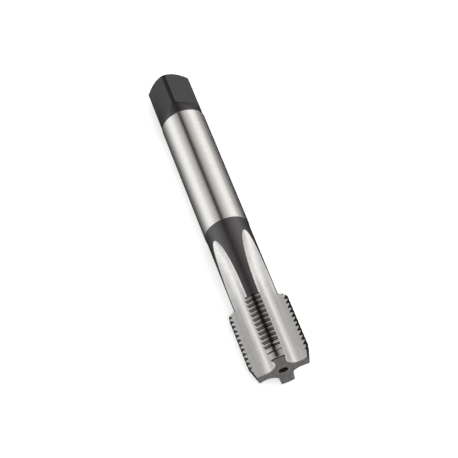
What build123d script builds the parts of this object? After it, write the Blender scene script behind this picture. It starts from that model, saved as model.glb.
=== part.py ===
from build123d import *
from math import acos, atan2, cos, degrees, pi, radians, sin, tan
import os

# A straight-fluted hand tap for the G 1/2 pipe thread, lying on a bench.
# The tap's axis runs along X with the cutting end toward +X. The origin is under
# the middle of its length, and z = 0 is the surface that two of its lands rest on.
# Lengths are millimetres and angles are degrees. A station is a distance behind the
# front face, and a turn is an angle about the tap's axis, from +Y toward +Z.

# Overall form
overall_length = 125.0
head_length = 25.9               # front face to the foot of the back bevel
neck_end = 55.1
neck_taper_end = 57.2
shank_end = 105.9
shank_diameter = 16.0
neck_diameter = 15.6
neck_fillet = 0.5
back_bevel_angle = 30.0          # from a plane across the axis

# Thread, Whitworth form, right-handed
thread_diameter = 20.955
threads_per_inch = 14
flank_angle = 55.0
depth_factor = 0.640327          # depth of the form for a pitch of 1
root_flat_share = 1 / 6          # of the pitch
groove_overshoot = 0.2           # how far the cutter stands outside the crest
groove_sweep = 60.0              # the turn that one groove covers, wider than a land
first_groove_station = -0.74     # on the first land, ahead of the front face

# Lead chamfer
front_diameter = 17.9
lead_chamfer_pitches = 2.8

# Flutes
flute_count = 4
flute_radius = 4.1
heel_offset = 2.15               # foot of the heel wall to the plane of its land
heel_radius = 15.0
root_offset = 1.6                # bottom of the flute to the next land's plane
face_start_angle = 15.0          # foot of the cutting face to its own land's plane
face_radius = 7.0                # the hook of the cutting face
wall_sweep = 45.0                # turn of each wall's arc, which ends outside the crest
flute_straight_length = 26.0
wheel_radius = 100.0             # the grinding wheel, which leaves the run-out
wheel_exit_angle = 22.0

# Drive square
square_across_flats = 12.0
square_length = 13.8
square_blank_diameter = 15.6
square_taper_length = 0.4
square_ramp_angle = 24.0         # from the end of a flat up to the shank
square_end_diameter = 12.2
end_chamfer_angle = 30.0         # from a plane across the axis

# Centre holes
centre_angle = 60.0
front_pilot_diameter = 1.6
front_centre_diameter = 3.35
front_pilot_depth = 3.6
back_pilot_diameter = 2.5
back_centre_diameter = 5.3
back_pilot_depth = 5.6

# Worked out from the sizes above
thread_radius = thread_diameter / 2
pitch = 25.4 / threads_per_inch
thread_depth = depth_factor * pitch
lead_angle = degrees(atan2(pitch, pi * (thread_diameter - thread_depth)))
bevel_length = (thread_diameter - neck_diameter) / 2 * tan(radians(back_bevel_angle))
end_chamfer_depth = (square_blank_diameter - square_end_diameter) / 2
end_chamfer_length = end_chamfer_depth * tan(radians(end_chamfer_angle))

# The centres of the flute's three arcs, in a frame whose x axis is one land's plane and
# whose y axis is the plane of the land after it
flute_centre = Vector(heel_offset + flute_radius, root_offset + flute_radius)
heel_centre = Vector(heel_offset + heel_radius, flute_centre.Y)
face_centre = flute_centre + Vector(
    -(face_radius - flute_radius) * sin(radians(face_start_angle)),
    (face_radius - flute_radius) * cos(radians(face_start_angle)),
)
flute_centre_turn = degrees(atan2(flute_centre.Y, flute_centre.X))
core_radius = flute_centre.length - flute_radius


def crest_reach(centre, radius):
    """The turn from an arc's centre to where the arc crosses the thread's crest."""
    squares = thread_radius**2 + centre.length**2 - radius**2
    return degrees(acos(squares / (2 * thread_radius * centre.length)))


# The two edges of a land at its crest, from the land's plane
face_centre_turn = degrees(atan2(face_centre.Y, face_centre.X))
heel_centre_turn = degrees(atan2(heel_centre.Y, heel_centre.X))
cutting_edge_turn = face_centre_turn - crest_reach(face_centre, face_radius)
heel_edge_turn = 90 - heel_centre_turn - crest_reach(heel_centre, heel_radius)
land_half_turn = (cutting_edge_turn + heel_edge_turn) / 2
land_middle_turn = (cutting_edge_turn - heel_edge_turn) / 2

# It rests on one edge of each of the two lowest lands, with a flute between them
flute_turn = 360 / flute_count
axis_height = thread_radius * cos(radians(flute_turn / 2 - land_half_turn))
front_x = overall_length / 2
tap_axis = Axis((0, 0, axis_height), (1, 0, 0))


def outward(turn):
    """The direction straight out from the tap's axis at a turn."""
    return Vector(0, cos(radians(turn)), sin(radians(turn)))


def on_axis(station):
    """The point of the tap's axis at a station."""
    return Vector(front_x - station, 0, axis_height)


def across_plane(station, turn):
    """A plane across the tap, whose x axis points out at the turn."""
    return Plane(on_axis(station), x_dir=outward(turn), z_dir=(1, 0, 0))


def along_plane(turn):
    """A plane along the tap from its front face, whose y axis points out at the turn."""
    return Plane(on_axis(0), x_dir=(1, 0, 0), z_dir=outward(turn + 90))


def thread_groove(station, turn):
    """One land's stretch of the thread groove, about an axis leaned by the lead angle."""
    centre = on_axis(station)
    leaned = Vector(1, 0, 0).rotate(Axis((0, 0, 0), outward(turn)), lead_angle)
    start = outward(turn).rotate(Axis((0, 0, 0), leaned), -groove_sweep / 2)
    root_radius = thread_radius - thread_depth
    cutter_radius = thread_radius + groove_overshoot
    root_half = root_flat_share * pitch / 2
    cutter_half = root_half + (cutter_radius - root_radius) * tan(radians(flank_angle / 2))
    with BuildPart(mode=Mode.PRIVATE) as groove:
        with BuildSketch(Plane(centre, x_dir=leaned, z_dir=leaned.cross(start))):
            with BuildLine():
                Polyline(
                    (-root_half, root_radius),
                    (root_half, root_radius),
                    (cutter_half, cutter_radius),
                    (-cutter_half, cutter_radius),
                    close=True,
                )
            make_face()
        revolve(axis=Axis(centre, leaned), revolution_arc=groove_sweep)
    return groove.part


# Thread grooves: each land's stand a quarter of the pitch from its neighbour's
grooves = []
for land in range(flute_count):
    station = first_groove_station - pitch * land / flute_count
    while station < head_length:
        grooves.append(thread_groove(station, flute_turn * (land + 0.5)))
        station += pitch

with BuildPart() as tap:
    # Turned and ground blank: square end, shank, neck and head
    with BuildSketch(along_plane(90)) as blank_profile:
        with BuildLine():
            Polyline(
                (0, 0),
                (0, front_diameter / 2),
                (-lead_chamfer_pitches * pitch, thread_radius),
                (-head_length + bevel_length, thread_radius),
                (-head_length, neck_diameter / 2),
                (-neck_end, neck_diameter / 2),
                (-neck_taper_end, shank_diameter / 2),
                (-shank_end, shank_diameter / 2),
                (-shank_end - square_taper_length, square_blank_diameter / 2),
                (-overall_length + end_chamfer_length, square_blank_diameter / 2),
                (-overall_length, square_end_diameter / 2),
                (-overall_length, 0),
                close=True,
            )
        make_face()
        neck_corner = blank_profile.vertices().sort_by_distance(
            blank_profile.workplanes[0].from_local_coords((-head_length, neck_diameter / 2))
        )[0]
        fillet(neck_corner, neck_fillet)
    revolve(axis=tap_axis)

    # Drive square: four flats, each with a sloped run-out up to the shank
    for side in range(4):
        with BuildSketch(along_plane(90 * side)):
            with BuildLine():
                flat = Line(
                    (-overall_length - square_length, square_across_flats / 2),
                    (-overall_length + square_length, square_across_flats / 2),
                )
                ramp = PolarLine(flat @ 1, shank_diameter, square_ramp_angle)
                Polyline(ramp @ 1, ((flat @ 0).X, (ramp @ 1).Y), flat @ 0)
            make_face()
        extrude(amount=shank_diameter, both=True, mode=Mode.SUBTRACT)

    # Centre holes in both ends
    with Locations(across_plane(0, 0)):
        CounterSinkHole(
            front_pilot_diameter / 2, front_centre_diameter / 2, front_pilot_depth, centre_angle
        )
    with Locations(-across_plane(overall_length, 0)):
        CounterSinkHole(
            back_pilot_diameter / 2, back_centre_diameter / 2, back_pilot_depth, centre_angle
        )

    # Flutes: straight along the head, then out through the neck on the wheel's curve
    for flute in range(flute_count):
        land_plane_turn = flute_turn * (flute + 0.5) - land_middle_turn
        with BuildSketch(across_plane(flute_straight_length, land_plane_turn)) as flute_section:
            with BuildLine():
                bottom = CenterArc(flute_centre, flute_radius, 180, 90 + face_start_angle)
                cutting_face = JernArc(bottom @ 1, bottom % 1, face_radius, wall_sweep)
                heel_wall = JernArc(bottom @ 0, -(bottom % 0), heel_radius, -wall_sweep)
                Polyline(cutting_face @ 1, (thread_diameter, thread_diameter), heel_wall @ 1)
            make_face()
        extrude(amount=flute_straight_length + thread_diameter, mode=Mode.SUBTRACT)
        wheel_turn = land_plane_turn + flute_centre_turn
        wheel_reach = outward(wheel_turn) * (wheel_radius + core_radius)
        revolve(
            flute_section.sketch,
            axis=Axis(on_axis(flute_straight_length) + wheel_reach, outward(wheel_turn - 90)),
            revolution_arc=wheel_exit_angle,
            mode=Mode.SUBTRACT,
        )

    # Thread
    add(grooves, mode=Mode.SUBTRACT)

tap.part.label = "thread_tap"
os.makedirs("parts", exist_ok=True)
export_step(tap.part, "parts/thread_tap.step")
print("core diameter", round(2 * core_radius, 2), "land half turn", round(land_half_turn, 2))
print("axis height", round(axis_height, 4), "volume", round(tap.part.volume, 1))
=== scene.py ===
import bmesh
import bpy
from math import cos, pi, radians, sin
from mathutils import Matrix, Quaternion, Vector


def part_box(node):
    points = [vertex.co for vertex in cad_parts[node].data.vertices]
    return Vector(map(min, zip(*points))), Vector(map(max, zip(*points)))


# A straight-fluted hand tap lying on a pale floor. Lengths are metres, in the tap's own frame:
# its axis runs along X with the cutting end toward +X, and z = 0 is the floor. A station is a
# distance behind the front face, and a turn is an angle about the axis, from +Y toward +Z.

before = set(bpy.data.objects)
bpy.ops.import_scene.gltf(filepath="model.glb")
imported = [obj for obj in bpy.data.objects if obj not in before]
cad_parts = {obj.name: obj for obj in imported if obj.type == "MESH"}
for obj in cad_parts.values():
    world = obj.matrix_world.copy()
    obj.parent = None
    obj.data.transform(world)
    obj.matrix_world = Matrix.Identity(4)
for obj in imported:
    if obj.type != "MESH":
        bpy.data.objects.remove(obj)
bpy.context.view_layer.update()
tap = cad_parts["thread_tap"]
lowCorner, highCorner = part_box("thread_tap")
frontX = highCorner.x                              # the front face
axisZ = (lowCorner.z + highCorner.z) / 2           # height of the tap's axis
mm = 0.001


# Node helpers

def addNode(tree, kind, inputs=None, **settings):
    node = tree.nodes.new(kind)
    for name, value in settings.items():
        setattr(node, name, value)
    for key, value in (inputs or {}).items():
        if isinstance(value, bpy.types.NodeSocket):
            tree.links.new(value, node.inputs[key])
        else:
            node.inputs[key].default_value = value
    return node


def maths(tree, operation, first, second=0.0, third=0.0):
    node = addNode(tree, "ShaderNodeMath", {0: first, 1: second, 2: third}, operation=operation)
    return node.outputs[0]


def product(tree, first, *others):
    for other in others:
        first = maths(tree, "MULTIPLY", first, other)
    return first


def shareBetween(tree, value, start, end):
    node = addNode(tree, "ShaderNodeMapRange", {"Value": value, "From Min": start, "From Max": end})
    return node.outputs["Result"]


def smoothBetween(tree, value, start, end, low=0.0, high=1.0):
    node = addNode(tree, "ShaderNodeMapRange",
                   {"Value": value, "From Min": start, "From Max": end, "To Min": low, "To Max": high},
                   interpolation_type="SMOOTHSTEP")
    return node.outputs["Result"]


def above(tree, value, limit, softness):
    return smoothBetween(tree, value, limit - softness / 2, limit + softness / 2)


def below(tree, value, limit, softness):
    return smoothBetween(tree, value, limit - softness / 2, limit + softness / 2, 1.0, 0.0)


def mixValues(tree, factor, first, second):
    node = addNode(tree, "ShaderNodeMix", {0: factor, 2: first, 3: second}, data_type="FLOAT")
    return node.outputs[0]


def blendColours(tree, factor, first, second, mode="MIX"):
    node = addNode(tree, "ShaderNodeMix", data_type="RGBA", blend_type=mode, clamp_factor=True)
    for socket, value in ((node.inputs[0], factor), (node.inputs[6], first), (node.inputs[7], second)):
        if isinstance(value, bpy.types.NodeSocket):
            tree.links.new(value, socket)
        elif isinstance(value, (tuple, list)):
            socket.default_value = (*value, 1.0)
        else:
            socket.default_value = value
    return node.outputs[2]


def shadeColour(tree, colour, shade):
    grey = addNode(tree, "ShaderNodeCombineColor", {"Red": shade, "Green": shade, "Blue": shade})
    return blendColours(tree, 1.0, colour, grey.outputs[0], "MULTIPLY")


def brightnessRamp(tree, share, shades):
    ramp = addNode(tree, "ShaderNodeValToRGB", {"Fac": share})
    stops = ramp.color_ramp.elements
    for number, (position, shade) in enumerate(shades):
        stop = stops[number] if number < 2 else stops.new(position)
        stop.position = position
        stop.color = (shade, shade, shade, 1)
    return ramp.outputs["Color"]


def noise(tree, vector, scale, detail, roughness):
    node = addNode(tree, "ShaderNodeTexNoise",
                   {"Vector": vector, "Scale": scale, "Detail": detail, "Roughness": roughness})
    return node.outputs["Fac"]


def spreadAbout(tree, pattern, spread, middle=1.0):
    return maths(tree, "MULTIPLY_ADD", pattern, spread, middle - spread / 2)


def objectPlace(tree):
    coordinates = addNode(tree, "ShaderNodeTexCoord")
    return addNode(tree, "ShaderNodeSeparateXYZ", {0: coordinates.outputs["Object"]})


def seenOrReflected(tree):
    rays = addNode(tree, "ShaderNodeLightPath")
    seen = maths(tree, "MAXIMUM", rays.outputs["Is Camera Ray"], rays.outputs["Is Glossy Ray"])
    return maths(tree, "MAXIMUM", seen, rays.outputs["Is Transmission Ray"])


def newMaterial(name):
    material = bpy.data.materials.new(name)
    material.use_nodes = True
    material.node_tree.nodes.clear()
    return material, material.node_tree


def objectFrom(shape, name, material):
    mesh = bpy.data.meshes.new(name)
    shape.to_mesh(mesh)
    shape.free()
    mesh.materials.append(material)
    piece = bpy.data.objects.new(name, mesh)
    bpy.context.scene.collection.objects.link(piece)
    return piece


# Camera

cameraSettings = {
    "place": (0.30008, -0.30952, axisZ + 0.33558),
    "lookAt": (0.00430, 0.00116, axisZ + 0.00009),
    "lens": 125.76,                                # millimetres, on a square frame
    "sensorWidth": 36.0,
    "clipStart": 0.01,
    "roll": 37.42,                                 # degrees, counter-clockwise
}


def addCamera(settings):
    data = bpy.data.cameras.new("camera")
    data.lens = settings["lens"]
    data.sensor_width = settings["sensorWidth"]
    data.clip_start = settings["clipStart"]
    camera = bpy.data.objects.new("camera", data)
    bpy.context.scene.collection.objects.link(camera)
    camera.location = settings["place"]
    direction = Vector(settings["lookAt"]) - Vector(settings["place"])
    turn = direction.to_track_quat("-Z", "Y") @ Quaternion((0, 0, 1), radians(settings["roll"]))
    camera.rotation_euler = turn.to_euler()
    bpy.context.scene.camera = camera
    print("camera placed")


# Pale floor

floorSettings = {
    "size": 6.0,
    "colour": (0.86, 0.86, 0.86),
    "glow": 0.6,                                   # seen and reflected, but it lights nothing
}


def addFloor(settings):
    material, tree = newMaterial("pale_floor")
    glow = addNode(tree, "ShaderNodeEmission", {
        "Color": (1, 1, 1, 1),
        "Strength": product(tree, seenOrReflected(tree), settings["glow"]),
    })
    board = addNode(tree, "ShaderNodeBsdfDiffuse", {"Color": (*settings["colour"], 1)})
    both = addNode(tree, "ShaderNodeAddShader", {0: board.outputs[0], 1: glow.outputs[0]})
    addNode(tree, "ShaderNodeOutputMaterial", {"Surface": both.outputs[0]})

    shape = bmesh.new()
    bmesh.ops.create_grid(shape, x_segments=1, y_segments=1, size=settings["size"] / 2)
    floor = objectFrom(shape, "floor", material)
    print("floor laid")


# White surroundings

worldSettings = {"fill": 0.25}                     # the light it sheds, where 1 is white


def addWorld(settings):
    world = bpy.data.worlds.new("studio")
    world.use_nodes = True
    tree = world.node_tree
    tree.nodes.clear()
    strength = addNode(tree, "ShaderNodeMapRange",
                       {"Value": seenOrReflected(tree), "To Min": settings["fill"]})
    sky = addNode(tree, "ShaderNodeBackground",
                  {"Color": (1, 1, 1, 1), "Strength": strength.outputs["Result"]})
    addNode(tree, "ShaderNodeOutputWorld", {"Surface": sky.outputs[0]})
    bpy.context.scene.world = world
    print("surroundings set")


# Soft box near the camera, aimed at the tap

softBoxSettings = {
    "size": 1.2,
    "place": (0.42, -0.72, 0.78),
    "power": 10.0,                                 # watts
}


def addSoftBox(settings):
    light = bpy.data.lights.new("soft_box", "AREA")
    light.size = settings["size"]
    light.energy = settings["power"]
    lamp = bpy.data.objects.new("soft_box", light)
    lamp.location = settings["place"]
    lamp.rotation_euler = (-Vector(settings["place"])).to_track_quat("-Z", "Y").to_euler()
    lamp.visible_camera = False
    lamp.visible_glossy = False                    # the tent alone shapes the reflections
    bpy.context.scene.collection.objects.link(lamp)
    print("soft box placed")


# Black and grey cards beside the tap, which only reflections see: the black is painted shade, standing in
# for the floor's shadow beside the tap in the steel's reflections, and the grey is a painted reflection for
# the drive square

cardSettings = {
    "height": 0.0001,
    "front": 0.5,
    "back": 1.3,
    # how bright the floor looks in the steel, by its distance from the middle toward +Y, darkened near the
    # tap as painted shade
    "shades": [(-0.5, 0.97), (-0.050, 0.97), (-0.029, 0.93), (-0.0206, 0.74), (-0.0155, 0.5),
               (-0.0118, 0.28), (-0.0087, 0.11), (-0.004, 0.035), (0.28, 0.035), (0.4, 0.9)],
    "greyShade": 0.52,                             # a painted reflection for the flats and slopes of the drive square
    # the edges of the two grey cards, each with its softness
    "squareBack": (-61 * mm, 18 * mm),
    "squareFar": (-26 * mm, 6 * mm),
    "squareNear": (-2 * mm, 3 * mm),
    "slopeBack": (-200 * mm, 100 * mm),
    "slopeNear": (50 * mm, 20 * mm),
}


def addReflectedShadeCards(settings):
    shades = settings["shades"]
    first, last = shades[0][0], shades[-1][0]
    material, tree = newMaterial("reflected_shade_card")
    place = objectPlace(tree)
    x, y = place.outputs["X"], place.outputs["Y"]
    ramp = brightnessRamp(tree, shareBetween(tree, y, first, last),
                          [((distance - first) / (last - first), shade) for distance, shade in shades])
    besideSquare = product(tree, below(tree, x, *settings["squareBack"]),
                           above(tree, y, *settings["squareFar"]),
                           below(tree, y, *settings["squareNear"]))
    behindSlope = product(tree, below(tree, x, *settings["slopeBack"]),
                          above(tree, y, *settings["slopeNear"]))
    ramp = blendColours(tree, maths(tree, "MAXIMUM", besideSquare, behindSlope), ramp,
                        (settings["greyShade"],) * 3)
    look = addNode(tree, "ShaderNodeEmission", {"Color": ramp, "Strength": 1.0})
    addNode(tree, "ShaderNodeOutputMaterial", {"Surface": look.outputs[0]})

    shape = bmesh.new()
    bmesh.ops.create_grid(shape, x_segments=1, y_segments=1, size=0.5)      # a metre square
    bmesh.ops.scale(shape, vec=(settings["front"] + settings["back"], last - first, 1), verts=shape.verts)
    bmesh.ops.translate(shape, verts=shape.verts, vec=(
        (settings["front"] - settings["back"]) / 2, (first + last) / 2, settings["height"]))
    cards = objectFrom(shape, "reflected_shade_cards", material)
    for kind in ("camera", "diffuse", "transmission", "shadow", "volume_scatter"):
        setattr(cards, "visible_" + kind, False)
    print("black cards laid")


# Light tent over the tap, along X

tentSettings = {
    "radius": 0.5,
    "front": 0.5,                                  # how far it reaches past the middle, +X
    "back": 1.3,
    "firstAngle": -4.0,                            # degrees up from the -Y side, over the top
    "lastAngle": 184.0,
    "steps": 96,
    "strength": 1.0,
    "tint": (1.0, 0.985, 0.965),
    # the light's strength by its angle: a soft side, a dark gap at the camera, a bright far side
    "strengths": [(-4, 0.93), (3, 0.84), (12, 0.69), (21, 0.56), (30, 0.43), (38, 0.27), (42.5, 0.025),
                  (51.5, 0.025), (56, 0.2), (64.5, 0.37), (73, 0.51), (82, 0.64), (91, 0.8),
                  (101, 0.96), (111, 1.0), (121, 0.88), (132, 0.66), (144, 0.46), (158, 0.28),
                  (175, 0.09), (184, 0.045)],
    # degrees added to every angle, so that the step from half a turn to minus half misses the tent
    "seamShift": 20.0,
}


def addLightTent(settings):
    firstAngle, lastAngle = settings["firstAngle"], settings["lastAngle"]
    shift = settings["seamShift"]
    material, tree = newMaterial("tent_light")
    place = objectPlace(tree)
    angle = maths(tree, "ARCTAN2", place.outputs["Z"], product(tree, place.outputs["Y"], -1.0))
    angle = maths(tree, "ADD", angle, radians(shift))
    angle = maths(tree, "WRAP", angle, 2 * pi, 0.0)
    share = shareBetween(tree, angle, radians(firstAngle + shift), radians(lastAngle + shift))
    ramp = brightnessRamp(tree, share, [((degreesUp - firstAngle) / (lastAngle - firstAngle), strength)
                                        for degreesUp, strength in settings["strengths"]])
    light = addNode(tree, "ShaderNodeEmission", {
        "Color": blendColours(tree, 1.0, ramp, settings["tint"], "MULTIPLY"),
        "Strength": settings["strength"],
    })
    addNode(tree, "ShaderNodeOutputMaterial", {"Surface": light.outputs[0]})

    shape = bmesh.new()
    side = -settings["radius"] * cos(radians(firstAngle))
    height = settings["radius"] * sin(radians(firstAngle))
    edge = [shape.verts.new((x, side, height)) for x in (-settings["back"], settings["front"])]
    shape.edges.new(edge)
    bmesh.ops.spin(shape, geom=shape.verts[:] + shape.edges[:], cent=(0, 0, 0), axis=(-1, 0, 0),
                   angle=radians(lastAngle - firstAngle), steps=settings["steps"], use_merge=False)
    tent = objectFrom(shape, "light_tent", material)
    tent.visible_camera = False
    tent.visible_shadow = False
    print("light tent raised")


# The tap's finishes: ground shank, lands and front face, satin flutes, black neck and square, with painted
# shade in the flutes, the thread grooves and the centre hole

tapSettings = {
    # stations
    "neckStart": 25.5 * mm,
    "neckEnd": 57.2 * mm,
    "squareStart": 105.9 * mm,
    "headEnd": 26.0 * mm,
    "headBlend": 3.0 * mm,                         # over which the painted shade on the flutes' walls fades
    "runOutStart": 24.0 * mm,                      # the flutes turn less metallic from here
    "runOutEnd": 34.0 * mm,
    "frontSkin": 0.05 * mm,
    "frontBlend": 0.02 * mm,
    "rimDepth": 0.42 * mm,                         # the lands' dark front edges
    # radii
    "neckSkin": 7.74 * mm,                         # black outside it, ground inside it
    "landFloor": 9.1 * mm,                         # thread roots stand outside it
    "rootTop": 9.7 * mm,
    "crestStart": 10.25 * mm,                      # the full thread, behind the lead chamfer
    "flankTop": 10.35 * mm,                        # the rounded crests stand outside it
    "crestBlend": 0.1 * mm,
    "bottomStart": 4.35 * mm,                      # of the flutes
    "bottomEnd": 5.0 * mm,
    "wallFoot": 6.0 * mm,
    "wallTop": 8.6 * mm,
    "centreMouth": 1.75 * mm,
    "rimFloor": 6.5 * mm,
    "edgeBlend": 0.06 * mm,                        # the softness of every other edge
    # how squarely a surface faces outward or along the axis, from 0 to 1
    "wallFacing": 0.4,
    "flankFacing": 0.5,
    "frontFacing": 0.9,
    "fluteCount": 4.0,
    # colours, and painted shades that darken them
    "groundColour": (0.90, 0.89, 0.87),
    "fluteColour": (0.98, 0.97, 0.95),
    # painted shade at the bottom of the flutes, and on their walls in the head, darker on the cutting faces
    "bottomPaintedShade": 0.68,
    "cuttingFacePaintedShade": 0.55,                      # painted shade near the lands' crests
    "heelPaintedShade": 0.80,
    "landColour": (0.90, 0.89, 0.88),
    "crestColour": (0.62, 0.61, 0.60),
    # painted shade: the flanks are darker than the crests, and darker still toward the roots, as if in the
    # grooves' shade
    "flankPaintedShadeColour": (0.42, 0.41, 0.405),
    "rootPaintedShade": 0.42,
    "rimColour": (0.03, 0.029, 0.028),
    "frontColour": (0.275, 0.264, 0.256),
    "oxideColour": (0.0162, 0.0130, 0.0152),
    # painted shade: the centre hole is painted near black
    "centreHolePaintedShade": (0.02, 0.02, 0.02),
    # roughness, and how metallic each zone is
    "fluteRoughness": 0.41,
    "groundRoughness": 0.185,
    "landRoughness": 0.085,
    "frontRoughness": 0.6,
    "oxideRoughness": 0.28,
    "fluteMetal": 0.75,
    "runOutMetal": 0.55,
    "frontMetal": 0.4,
    "squareMetal": 0.35,
    "ior": 2.0,
    # grinding lines, grain and clouds
    "roundLineScale": (4000.0, 1.2, 300.0),        # by station, turn and radius
    "longLineScale": (40.0, 2600.0, 2600.0),
    "lineNoise": (1.0, 3.0, 0.6),                  # scale, detail and roughness, as the next two
    "grainNoise": (900.0, 4.0, 0.6),
    "cloudNoise": (120.0, 2.0, 0.5),
    "grainRange": (0.3, 0.7),
    # how far each of them changes a colour, the roughness or the surface
    "roundLineSpread": 0.3,
    "longLineSpread": 0.5,
    "fluteGrainSpread": 0.14,
    "frontGrainSpread": 0.6,
    "cloudSpread": 0.5,
    "roughnessSpread": 0.08,
    "reliefStrength": 0.12,
    "reliefDepth": 0.02 * mm,
}


def placeGroup():
    group = bpy.data.node_groups.new("tapPlace", "ShaderNodeTree")
    for name in ("Station", "Radius", "Turn"):
        group.interface.new_socket(name=name, in_out="OUTPUT", socket_type="NodeSocketFloat")
    place = objectPlace(group)
    side = place.outputs["Y"]
    up = maths(group, "SUBTRACT", place.outputs["Z"], axisZ)
    radiusSquared = maths(group, "ADD", product(group, up, up), product(group, side, side))
    addNode(group, "NodeGroupOutput", {
        "Station": maths(group, "SUBTRACT", frontX, place.outputs["X"]),
        "Radius": maths(group, "SQRT", radiusSquared),
        "Turn": maths(group, "ARCTAN2", up, side),
    })
    return group


def findZones(tree, place, normal, settings):
    station, radius, turn = (place.outputs[name] for name in ("Station", "Radius", "Turn"))
    blend = settings["edgeBlend"]
    facing = addNode(tree, "ShaderNodeSeparateXYZ", {0: normal})
    forward = facing.outputs["X"]
    along = maths(tree, "ABSOLUTE", forward)
    outward = maths(tree, "ADD",
                    product(tree, facing.outputs["Y"], maths(tree, "COSINE", turn)),
                    product(tree, facing.outputs["Z"], maths(tree, "SINE", turn)))
    wall = product(tree, maths(tree, "LESS_THAN", outward, settings["wallFacing"]),
                   maths(tree, "LESS_THAN", along, settings["flankFacing"]))
    notWall = maths(tree, "SUBTRACT", 1.0, wall)
    head = below(tree, station, settings["headEnd"], blend)
    neck = product(tree, above(tree, station, settings["neckStart"], blend),
                   below(tree, station, settings["neckEnd"], blend),
                   above(tree, radius, settings["neckSkin"], blend))
    square = above(tree, station, settings["squareStart"], blend)
    return {
        "shank": product(tree, above(tree, station, settings["neckEnd"], blend),
                         below(tree, station, settings["squareStart"], blend)),
        "square": square,
        "oxide": maths(tree, "MAXIMUM", neck, square),
        "land": product(tree, above(tree, radius, settings["landFloor"], blend), notWall, head),
        "flank": product(tree, maths(tree, "GREATER_THAN", along, settings["flankFacing"]),
                         below(tree, radius, settings["flankTop"], settings["crestBlend"])),
        "front": product(tree, below(tree, station, settings["frontSkin"], settings["frontBlend"]),
                         maths(tree, "GREATER_THAN", forward, settings["frontFacing"])),
        "rim": product(tree, below(tree, station, settings["rimDepth"], blend), notWall,
                       above(tree, radius, settings["rimFloor"], blend),
                       maths(tree, "LESS_THAN", forward, settings["frontFacing"])),
        "centreHole": product(tree, below(tree, radius, settings["centreMouth"], blend), head,
                              above(tree, station, settings["frontSkin"], settings["frontBlend"])),
    }


# Lines round the shank and neck and along the flutes, fine grain, and clouds in the black
def findPatterns(tree, place, point, settings):
    stretch = addNode(tree, "ShaderNodeCombineXYZ", {
        axis: product(tree, place.outputs[name], scale)
        for axis, name, scale in zip("XYZ", ("Station", "Turn", "Radius"), settings["roundLineScale"])
    })
    lengthwise = addNode(tree, "ShaderNodeMapping", {"Vector": point, "Scale": settings["longLineScale"]})
    grain = noise(tree, point, *settings["grainNoise"])
    return {
        "roundLines": noise(tree, stretch.outputs[0], *settings["lineNoise"]),
        "longLines": noise(tree, lengthwise.outputs[0], *settings["lineNoise"]),
        "grain": shareBetween(tree, grain, *settings["grainRange"]),
        "clouds": noise(tree, point, *settings["cloudNoise"]),
    }


# Painted shade: darker at the bottom of the flutes and, in the head, up their walls
def paintedFluteShade(tree, place, settings):
    station, radius, turn = (place.outputs[name] for name in ("Station", "Radius", "Turn"))
    wave = maths(tree, "SINE", product(tree, turn, settings["fluteCount"]))
    heelSide = shareBetween(tree, wave, -1.0, 1.0)
    wall = smoothBetween(tree, radius, settings["wallFoot"], settings["wallTop"], 1.0,
                         mixValues(tree, heelSide, settings["cuttingFacePaintedShade"], settings["heelPaintedShade"]))
    inHead = below(tree, station, settings["headEnd"], settings["headBlend"])
    bottom = smoothBetween(tree, radius, settings["bottomStart"], settings["bottomEnd"],
                           settings["bottomPaintedShade"], 1.0)
    return product(tree, mixValues(tree, inHead, 1.0, wall), bottom)


# Painted shade in the thread: darker flanks, and darker still toward the roots
def threadColour(tree, radius, flank, settings):
    root = smoothBetween(tree, radius, settings["landFloor"], settings["rootTop"],
                         settings["rootPaintedShade"], 1.0)
    flankPaintedShadeColour = shadeColour(tree, settings["flankPaintedShadeColour"], root)
    crest = above(tree, radius, settings["crestStart"], settings["crestBlend"])
    topColour = blendColours(tree, crest, settings["landColour"], settings["crestColour"])
    return blendColours(tree, flank, topColour, flankPaintedShadeColour)


def steelColour(tree, place, zones, patterns, settings):
    colour = blendColours(tree, zones["shank"], settings["fluteColour"], settings["groundColour"])
    colour = shadeColour(tree, colour, paintedFluteShade(tree, place, settings))
    thread = threadColour(tree, place.outputs["Radius"], zones["flank"], settings)
    colour = blendColours(tree, zones["land"], colour, thread)
    colour = blendColours(tree, zones["front"], colour, settings["frontColour"])

    inFlutes = maths(tree, "ADD", spreadAbout(tree, patterns["longLines"], settings["longLineSpread"]),
                     spreadAbout(tree, patterns["grain"], settings["fluteGrainSpread"], 0.0))
    onShank = spreadAbout(tree, patterns["roundLines"], settings["roundLineSpread"])
    onFront = spreadAbout(tree, patterns["grain"], settings["frontGrainSpread"])
    shade = mixValues(tree, zones["shank"], inFlutes, onShank)
    colour = shadeColour(tree, colour, mixValues(tree, zones["front"], shade, onFront))

    inBlack = spreadAbout(tree, patterns["clouds"], settings["cloudSpread"])
    colour = blendColours(tree, zones["oxide"], colour, shadeColour(tree, settings["oxideColour"], inBlack))
    # painted shade: the centre hole is near-black metal
    colour = blendColours(tree, zones["centreHole"], colour, settings["centreHolePaintedShade"])
    return blendColours(tree, zones["rim"], colour, settings["rimColour"])


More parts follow.
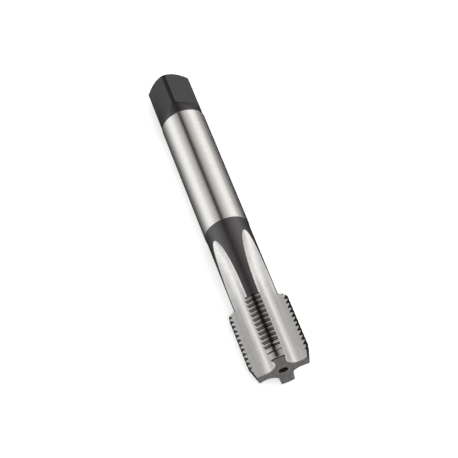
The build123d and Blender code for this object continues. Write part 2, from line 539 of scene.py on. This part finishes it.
def steelRoughness(tree, zones, patterns, settings):
    rough = mixValues(tree, zones["shank"], settings["fluteRoughness"], settings["groundRoughness"])
    for zone in ("land", "front", "oxide"):
        rough = mixValues(tree, zones[zone], rough, settings[zone + "Roughness"])
    lines = spreadAbout(tree, patterns["roundLines"], settings["roughnessSpread"], 0.0)
    return maths(tree, "ADD", rough, lines)


def steelMetal(tree, station, zones, settings):
    metal = smoothBetween(tree, station, settings["runOutStart"], settings["runOutEnd"],
                          settings["fluteMetal"], settings["runOutMetal"])
    metal = mixValues(tree, maths(tree, "MAXIMUM", zones["shank"], zones["land"]), metal, 1.0)
    metal = mixValues(tree, zones["front"], metal, settings["frontMetal"])
    onSquare = product(tree, zones["square"], settings["squareMetal"])
    metal = mixValues(tree, zones["oxide"], metal, onSquare)
    return maths(tree, "MAXIMUM", metal, zones["centreHole"])


def steelRelief(tree, zones, patterns, settings):
    turned = maths(tree, "MAXIMUM", zones["shank"], zones["oxide"])
    lines = mixValues(tree, turned, patterns["longLines"], patterns["roundLines"])
    lines = mixValues(tree, zones["land"], lines, 0.5)                      # the lands stay smooth
    bump = addNode(tree, "ShaderNodeBump", {
        "Strength": settings["reliefStrength"], "Distance": settings["reliefDepth"], "Height": lines})
    return bump.outputs[0]


def addSteel(settings):
    material, tree = newMaterial("tap_steel")
    place = addNode(tree, "ShaderNodeGroup", node_tree=placeGroup())
    coordinates = addNode(tree, "ShaderNodeTexCoord")
    zones = findZones(tree, place, coordinates.outputs["Normal"], settings)
    patterns = findPatterns(tree, place, coordinates.outputs["Object"], settings)
    body = addNode(tree, "ShaderNodeBsdfPrincipled", {
        "Base Color": steelColour(tree, place, zones, patterns, settings),
        "Metallic": steelMetal(tree, place.outputs["Station"], zones, settings),
        "Roughness": steelRoughness(tree, zones, patterns, settings),
        "IOR": settings["ior"],
        "Normal": steelRelief(tree, zones, patterns, settings),
    })
    addNode(tree, "ShaderNodeOutputMaterial", {"Surface": body.outputs[0]})
    return material


bpy.context.scene.view_settings.view_transform = "Standard"
addCamera(cameraSettings)
addFloor(floorSettings)
addWorld(worldSettings)
addSoftBox(softBoxSettings)
addReflectedShadeCards(cardSettings)
addLightTent(tentSettings)

tapSteel = addSteel(tapSettings)
for slot in tap.material_slots:
    slot.material = tapSteel
print("tap finished")
